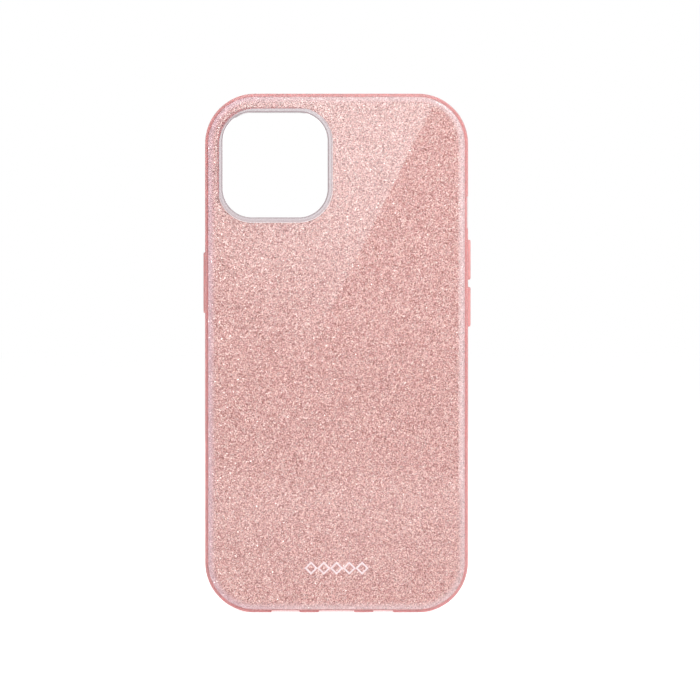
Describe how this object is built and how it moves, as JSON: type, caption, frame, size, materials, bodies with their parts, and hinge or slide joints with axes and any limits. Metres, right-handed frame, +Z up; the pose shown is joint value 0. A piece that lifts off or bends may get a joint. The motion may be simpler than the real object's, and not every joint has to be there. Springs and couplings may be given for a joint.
{
  "type": "phone case",
  "caption": "Slim hybrid phone case: flexible coral bumper frame with sliding button pads, clear back plate with a raised camera collar over rose glitter film.",
  "frame": {"origin": "bottom centre of the bounding box: the middle of the width and of the depth, at the level of the bottom edge that the case stands on", "axes": "+Z up along the case's length, -Y out of the glitter back, +Y out of the open front that the phone goes in by, +X towards the side with the volume pads and the ring switch opening"},
  "size_m": [0.0788, 0.0116, 0.1525],
  "materials": {
    "coral_tpu": "satin, slightly see-through coral thermoplastic polyurethane",
    "clear_polycarbonate": "high-gloss clear polycarbonate with a faint lavender tint at its rounded edge",
    "rose_glitter": "dense rose-gold glitter flakes, 0.2 to 0.8 mm across, on a rose film",
    "blush_liner": "matte blush sheet with a fine raised dot grid that keeps it off the phone",
    "pale_print": "pale pink print"
  },
  "bodies": {
    "shell": {"bumper_frame": "coral_tpu", "back_plate": "clear_polycarbonate", "glitter_film": "rose_glitter", "inner_liner": "blush_liner", "printed_mark": "pale_print"},
    "power_button": {"power_button": "coral_tpu"},
    "volume_up_button": {"volume_up_button": "coral_tpu"},
    "volume_down_button": {"volume_down_button": "coral_tpu"}
  },
  "joints": [
    {"name": "power_button_press", "type": "slide", "parent": "shell", "child": "power_button", "axis": [1, 0, 0], "range_m": [0, 0.0004], "stiffness_N_per_m": 2500},
    {"name": "volume_up_button_press", "type": "slide", "parent": "shell", "child": "volume_up_button", "axis": [-1, 0, 0], "range_m": [0, 0.0004], "stiffness_N_per_m": 2500},
    {"name": "volume_down_button_press", "type": "slide", "parent": "shell", "child": "volume_down_button", "axis": [-1, 0, 0], "range_m": [0, 0.0004], "stiffness_N_per_m": 2500}
  ]
}
